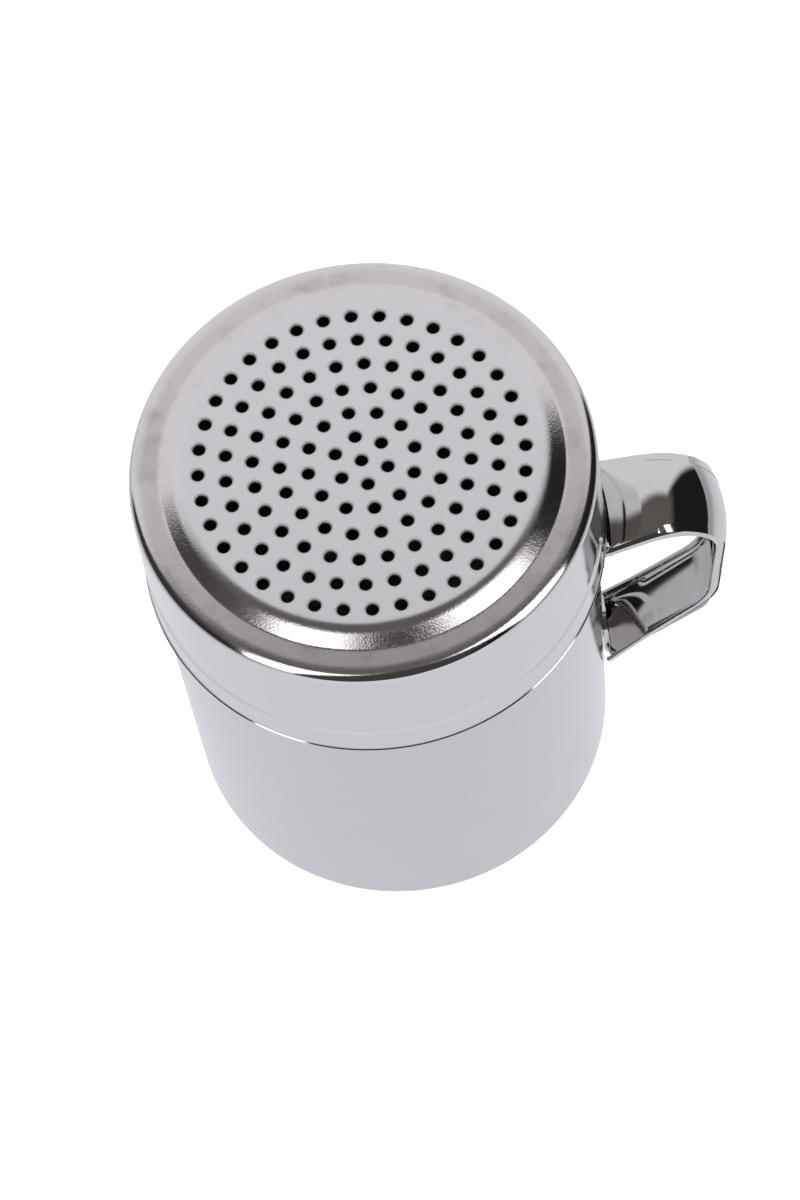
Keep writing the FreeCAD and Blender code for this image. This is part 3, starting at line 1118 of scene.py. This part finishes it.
@dataclass
class Studio:
    """The white table, the room round it and the softboxes.

    Brightness is 1 for white. A place in the room is the X, Y or Z of a way of length 1.

    Attributes:
        table_size: The table's width, in metres.
        table_drop: How far it is below the shaker, in millimetres.
        table_seen: How much light it adds towards the camera, so that it looks white.
        painted_shadow_level: How bright it is in the steel's reflections beside the shaker, where
            a painted shadow darkens it.
        painted_shadow_reach: Where that painted shadow starts to fade out, and where the
            brightness is 1, in metres.
        painted_side_shade: How much painted shade darkens it, seen in the steel, far out along X.
        side_turn: How far to the side that painted shade starts and ends, as a share of the
            distance.
        side_reach: The distances at which it starts and is complete, in metres.
        panel_rise: How fast the white panel behind narrows upwards.
        panel_spread: How fast it narrows to its sides.
        panel_shift: How far it is moved towards -X.
        panel_edge: How soft its edge is.
        panel_light: How bright it is.
        ceiling: Places along X, and the ceiling's brightness there.
        camera_shade: How much of that is left on the camera's side.
        camera_side: The places along Y between which it falls to that.
        softboxes: The lamps.
    """

    table_size: float = 4.0
    table_drop: float = 0.02
    table_seen: float = 0.85
    # The brightness left by a painted shadow on the table, seen in the steel beside the shaker
    painted_shadow_level: float = 0.9
    painted_shadow_reach: Pair = (0.04, 0.2)
    # Painted shade on the table seen in the steel, far out along X
    painted_side_shade: float = 0.5
    side_turn: Pair = (0.45, 0.98)
    side_reach: Pair = (0.1, 0.4)
    panel_rise: float = 0.37
    panel_spread: float = 0.65
    panel_shift: float = 0.13
    panel_edge: float = 0.05
    panel_light: float = 0.92
    ceiling: tuple[Pair, ...] = (
        (-0.76, 0.05), (-0.62, 0.1), (-0.42, 0.145), (0.4, 0.145), (0.54, 0.018), (0.8, 0.018))
    camera_shade: float = 0.45
    camera_side: Pair = (-0.45, -0.15)
    softboxes: tuple[Softbox, ...] = (
        Softbox("softbox_left", 224.5, 41.0, 1.2, (0.42, 1.5), 4.15),
        Softbox("softbox_right", 330.0, 41.0, 1.2, (0.52, 1.5), 4.73),
    )

    def mirrored_level(self, tree: Tree) -> Socket:
        """How bright the table looks in the steel, as a socket, with a painted shadow beside the
        shaker and painted shade far out along X.
        """
        place = add_node(tree, "ShaderNodeTexCoord").outputs["Object"]
        along_x = add_node(tree, "ShaderNodeSeparateXYZ", None, {"Vector": place}).outputs["X"]
        away = add_node(tree, "ShaderNodeVectorMath", {"operation": "LENGTH"}, {
            0: place}).outputs["Value"]
        # Painted shadow: the mirrored table is darker beside the shaker
        level = add_range(tree, away, self.painted_shadow_reach, (self.painted_shadow_level, 1.0))
        turned = add_math(tree, "DIVIDE", add_math(tree, "ABSOLUTE", along_x), away)
        # Painted shade: the mirrored table is darker far out along X
        side_shade = add_range(tree, turned, self.side_turn, (0.0, self.painted_side_shade))
        distant = add_range(tree, away, self.side_reach, (0.0, 1.0))
        return add_math(tree, "SUBTRACT", level, add_math(tree, "MULTIPLY", side_shade, distant))

    def table(self) -> Object:
        """Makes the white table, which the camera sees as white under the shaker's shadow."""
        table = added(bpy.ops.mesh.primitive_plane_add, size=self.table_size,
                      location=(0, 0, -self.table_drop * MM))
        table.name = "white_table"
        # Matt white that keeps the shadow; seen in the steel it glows, with a painted shadow
        # beside the shaker and painted shade far out along X, so that it shades the steel from
        # below like a lit table
        material = bpy.data.materials.new("matt white laminate")
        tree = empty_tree(material)
        path = add_node(tree, "ShaderNodeLightPath").outputs
        matt = add_node(tree, "ShaderNodeBsdfDiffuse", None, {"Color": linear("#E8E8EA")})
        white = add_node(tree, "ShaderNodeEmission", None, {
            "Color": linear("#FFFFFF"),
            "Strength": add_math(tree, "MULTIPLY", path["Is Camera Ray"], self.table_seen)})
        seen = add_node(tree, "ShaderNodeAddShader", None, {
            0: matt.outputs[0], 1: white.outputs[0]})
        mirrored = add_node(tree, "ShaderNodeEmission", None, {
            "Color": linear("#EFEFF6"), "Strength": self.mirrored_level(tree)})
        both = add_node(tree, "ShaderNodeMixShader", None, {
            0: path["Is Glossy Ray"], 1: seen.outputs[0], 2: mirrored.outputs[0]})
        add_node(tree, "ShaderNodeOutputMaterial", None, {"Surface": both.outputs[0]})
        table.data.materials.append(material)
        return table

    def room(self) -> None:
        """Makes the room that the steel reflects: a white panel behind and a grey ceiling."""
        world = bpy.data.worlds.new("studio room")
        bpy.context.scene.world = world
        tree = empty_tree(world)
        path = add_node(tree, "ShaderNodeLightPath").outputs
        way = add_node(tree, "ShaderNodeTexCoord").outputs["Generated"]
        parts = add_node(tree, "ShaderNodeSeparateXYZ", None, {"Vector": way}).outputs
        aside = add_math(tree, "ABSOLUTE", add_math(tree, "ADD", parts["X"], self.panel_shift))
        beside = add_math(tree, "MULTIPLY", aside, self.panel_spread)
        overhead = add_math(tree, "MULTIPLY", parts["Z"], self.panel_rise)
        nearest = add_math(tree, "MAXIMUM", overhead, beside)
        inside = add_math(tree, "SUBTRACT", parts["Y"], nearest)
        panel = add_range(tree, inside, (-self.panel_edge, self.panel_edge), (0.0, 1.0))
        across = add_math(tree, "MULTIPLY_ADD", parts["X"], 0.5, 0.5)
        stops = [(x / 2 + 0.5, (level, level, level)) for x, level in self.ceiling]
        shaded = add_range(tree, parts["Y"], self.camera_side, (self.camera_shade, 1.0), "LINEAR")
        gloom = add_math(tree, "MULTIPLY", add_ramp(tree, across, stops), shaded)
        strength = add_node(tree, "ShaderNodeMix", {"data_type": "FLOAT"}, {
            0: panel, 2: gloom, 3: self.panel_light})
        tint = add_node(tree, "ShaderNodeMix", {"data_type": "RGBA"}, {
            0: panel, 6: linear("#F6EEE8"), 7: linear("#F6F5FA")})
        walls = add_node(tree, "ShaderNodeBackground", None, {
            "Color": tint.outputs[2], "Strength": strength.outputs[0]})
        white = add_node(tree, "ShaderNodeBackground", None, {
            "Color": linear("#FFFFFF"), "Strength": 1.0})
        seen = add_node(tree, "ShaderNodeMixShader", None, {
            0: path["Is Camera Ray"], 1: walls.outputs[0], 2: white.outputs[0]})
        add_node(tree, "ShaderNodeOutputWorld", None, {"Surface": seen.outputs[0]})

    def build(self) -> None:
        """Makes the whole studio."""
        self.table()
        self.room()
        for softbox in self.softboxes:
            softbox.build()


def dress(piece: Object, node: str, body: Body) -> None:
    """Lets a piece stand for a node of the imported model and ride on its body."""
    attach(piece, body.value)
    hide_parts(node)
    log.info("%s stands for %s, with %d faces", piece.name, node, len(piece.data.polygons))


def main() -> None:
    """Builds the shaker and its studio."""
    logging.basicConfig(level=logging.INFO, format="%(name)s: %(message)s")
    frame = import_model()
    bpy.context.scene.view_settings.view_transform = "Standard"

    cup_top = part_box("cup")[1] / MM
    lid_low, lid_top = (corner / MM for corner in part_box("perforated_lid"))
    PhotoCamera().build()
    Studio().build()

    steels = finishes()
    edge_height = round(lid_low.z, 1)
    cup = Cup(cup_top.x, cup_top.z, edge_height + NECK_ABOVE_EDGE)
    dress(cup.build(steels["cup"], steels["inside"]), "cup", Body.SHAKER)
    lid = PerforatedLid(lid_top.x, edge_height, lid_top.z)
    dress(lid.build(steels["lid"], steels["cut"]), "perforated_lid", Body.LID)
    handle = Handle(cup_top.x, edge_height)
    dress(handle.build(steels["handle"]), "handle", Body.SHAKER)
    welds = frame["nodes"]["handle_spot_welds"]
    welds.material_slots[0].material = steels["weld"].make()


if __name__ == "__main__":
    main()
